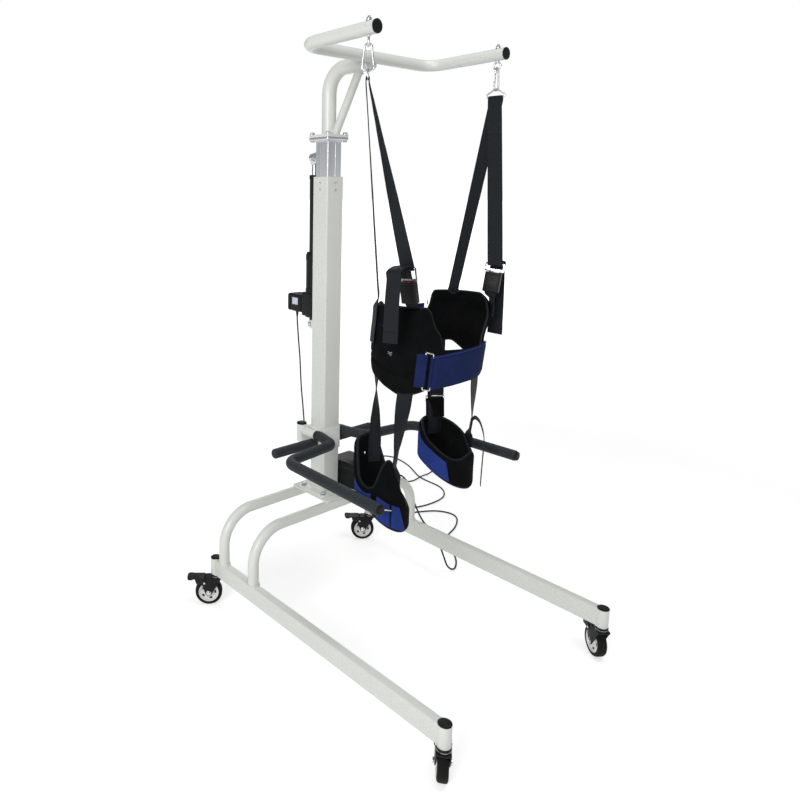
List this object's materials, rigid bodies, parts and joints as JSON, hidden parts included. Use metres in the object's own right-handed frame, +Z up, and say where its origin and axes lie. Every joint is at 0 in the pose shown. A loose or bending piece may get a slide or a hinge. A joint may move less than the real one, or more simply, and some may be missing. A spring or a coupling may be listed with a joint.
{
  "type": "electric gait trainer",
  "caption": "Wheeled walking trainer: U-shaped base open at the front, powered lifting column, overhead yoke with a hanging body harness, and foam arm rests on a sliding collar.",
  "frame": {"origin": "on the floor, in the middle of the object's box in X and Y, measured without the mains lead and its plug", "axes": "+Z up; the base opens towards -Y, where the walker enters; +X is on the right of a viewer who looks along +Y"},
  "size_m": [1.8364, 1.7297, 1.9783],
  "materials": {
    "alloy": "satin anodised",
    "black_cloth": "padded knitted cloth",
    "black_plastic": "satin moulded plastic",
    "foam_grip": "matt closed-cell foam",
    "frame_paint": "satin powder coat, off-white",
    "navy_cloth": "padded navy cloth",
    "red_button": "moulded red plastic",
    "tyre_rubber": "matt rubber on a light grey plastic rim",
    "webbing": "woven webbing with a slight sheen",
    "zinc_steel": "bright plated steel"
  },
  "bodies": {
    "base": {"left_leg": "frame_paint", "right_leg": "frame_paint", "front_left_post_cap": "black_plastic", "front_right_post_cap": "black_plastic", "rear_left_post_cap": "black_plastic", "rear_right_post_cap": "black_plastic", "rear_arch": "frame_paint", "front_arch": "frame_paint", "mounting_plate": "frame_paint", "outer_column": "frame_paint", "guide_bush": "black_plastic", "actuator_tube": "black_plastic", "actuator_motor": "black_plastic", "control_box": "black_plastic", "motor_cord": "black_plastic", "power_cord": "black_plastic", "power_plug": "black_plastic"},
    "lift": {"inner_column": "alloy", "lifting_yoke": "frame_paint", "actuator_rod": "zinc_steel", "left_yoke_cap": "black_plastic", "left_eye_bolt": "zinc_steel", "right_yoke_cap": "black_plastic", "right_eye_bolt": "zinc_steel"},
    "sleeve": {"grip_sleeve": "frame_paint", "left_arm_grip": "foam_grip", "left_push_grip": "foam_grip", "right_arm_grip": "foam_grip", "right_push_grip": "foam_grip"},
    "knob": {"clamp_knob": "black_plastic"},
    "harness": {"harness_vest": "black_cloth", "front_band": "navy_cloth", "left_carabiner": "zinc_steel", "left_strap_ring": "zinc_steel", "left_strap": "webbing", "left_tongue": "zinc_steel", "left_buckle": "black_plastic", "left_thigh_cuff": "black_cloth", "right_carabiner": "zinc_steel", "right_strap_ring": "zinc_steel", "right_strap": "webbing", "right_tongue": "zinc_steel", "right_buckle": "black_plastic", "right_thigh_cuff": "black_cloth"},
    "left_gate": {"left_carabiner_gate": "zinc_steel"},
    "left_button": {"left_buckle_button": "red_button"},
    "right_gate": {"right_carabiner_gate": "zinc_steel"},
    "right_button": {"right_buckle_button": "red_button"},
    "front_left_swivel": {"front_left_fork": "black_plastic"},
    "front_left_roller": {"front_left_wheel": "tyre_rubber"},
    "front_left_brake": {"front_left_pedal": "black_plastic"},
    "front_right_swivel": {"front_right_fork": "black_plastic"},
    "front_right_roller": {"front_right_wheel": "tyre_rubber"},
    "front_right_brake": {"front_right_pedal": "black_plastic"},
    "rear_left_swivel": {"rear_left_fork": "black_plastic"},
    "rear_left_roller": {"rear_left_wheel": "tyre_rubber"},
    "rear_left_brake": {"rear_left_pedal": "black_plastic"},
    "rear_right_swivel": {"rear_right_fork": "black_plastic"},
    "rear_right_roller": {"rear_right_wheel": "tyre_rubber"},
    "rear_right_brake": {"rear_right_pedal": "black_plastic"}
  },
  "joints": [
    {"name": "lift_slide", "type": "slide", "parent": "base", "child": "lift", "axis": [0, 0, 1], "range_m": [-0.035, 0.365]},
    {"name": "sleeve_slide", "type": "slide", "parent": "base", "child": "sleeve", "axis": [0, 0, 1], "range_m": [-0.04, 0.34]},
    {"name": "knob_turn", "type": "hinge", "parent": "sleeve", "child": "knob", "pos_m": [0.00914, 0.39114, 0.606], "axis": [0, 1, 0], "range_deg": [0, 540]},
    {"name": "harness_swing", "type": "hinge", "parent": "lift", "child": "harness", "pos_m": [0.00914, -0.11786, 1.9056], "axis": [1, 0, 0], "range_deg": [-20, 7]},
    {"name": "left_gate_hinge", "type": "hinge", "parent": "harness", "child": "left_gate", "pos_m": [-0.27311, -0.12861, 1.85125], "axis": [-0.7071, -0.7071, 0], "range_deg": [0, 18], "stiffness_Nm_per_rad": 0.02, "springref_deg": -5.73},
    {"name": "left_button_press", "type": "slide", "parent": "harness", "child": "left_button", "axis": [0.1854, -0.0267, -0.9823], "range_m": [0, 0.0025], "stiffness_N_per_m": 800, "springref_m": -0.001},
    {"name": "right_gate_hinge", "type": "hinge", "parent": "harness", "child": "right_gate", "pos_m": [0.28717, -0.1205, 1.85125], "axis": [-0.1736, 0.9848, 0], "range_deg": [0, 18], "stiffness_Nm_per_rad": 0.02, "springref_deg": -5.73},
    {"name": "right_button_press", "type": "slide", "parent": "harness", "child": "right_button", "axis": [-0.1512, 0.0453, -0.9875], "range_m": [0, 0.0025], "stiffness_N_per_m": 800, "springref_m": -0.001},
    {"name": "front_left_swivel_turn", "type": "hinge", "parent": "base", "child": "front_left_swivel", "pos_m": [-0.39586, -0.55186, 0.121], "axis": [0, 0, 1], "continuous": true},
    {"name": "front_left_wheel_roll", "type": "hinge", "parent": "front_left_swivel", "child": "front_left_roller", "pos_m": [-0.37441, -0.53386, 0.05], "axis": [-0.6428, 0.766, 0], "continuous": true},
    {"name": "front_left_brake_press", "type": "hinge", "parent": "front_left_swivel", "child": "front_left_brake", "pos_m": [-0.36292, -0.52422, 0.09], "axis": [-0.6428, 0.766, 0], "range_deg": [0, 8]},
    {"name": "front_right_swivel_turn", "type": "hinge", "parent": "base", "child": "front_right_swivel", "pos_m": [0.41414, -0.55186, 0.121], "axis": [0, 0, 1], "continuous": true},
    {"name": "front_right_wheel_roll", "type": "hinge", "parent": "front_right_swivel", "child": "front_right_roller", "pos_m": [0.4302, -0.52893, 0.05], "axis": [-0.8192, 0.5736, 0], "continuous": true},
    {"name": "front_right_brake_press", "type": "hinge", "parent": "front_right_swivel", "child": "front_right_brake", "pos_m": [0.43881, -0.51664, 0.09], "axis": [-0.8192, 0.5736, 0], "range_deg": [0, 8]},
    {"name": "rear_left_swivel_turn", "type": "hinge", "parent": "base", "child": "rear_left_swivel", "pos_m": [-0.39586, 0.49814, 0.121], "axis": [0, 0, 1], "continuous": true},
    {"name": "rear_left_wheel_roll", "type": "hinge", "parent": "rear_left_swivel", "child": "rear_left_roller", "pos_m": [-0.41792, 0.51538, 0.05], "axis": [-0.6157, -0.788, 0], "continuous": true},
    {"name": "rear_left_brake_press", "type": "hinge", "parent": "rear_left_swivel", "child": "rear_left_brake", "pos_m": [-0.42974, 0.52461, 0.09], "axis": [-0.6157, -0.788, 0], "range_deg": [0, 8]},
    {"name": "rear_right_swivel_turn", "type": "hinge", "parent": "base", "child": "rear_right_swivel", "pos_m": [0.41414, 0.49814, 0.121], "axis": [0, 0, 1], "continuous": true},
    {"name": "rear_right_wheel_roll", "type": "hinge", "parent": "rear_right_swivel", "child": "rear_right_roller", "pos_m": [0.39208, 0.51538, 0.05], "axis": [-0.6157, -0.788, 0], "continuous": true},
    {"name": "rear_right_brake_press", "type": "hinge", "parent": "rear_right_swivel", "child": "rear_right_brake", "pos_m": [0.38026, 0.52461, 0.09], "axis": [-0.6157, -0.788, 0], "range_deg": [0, 8]}
  ]
}
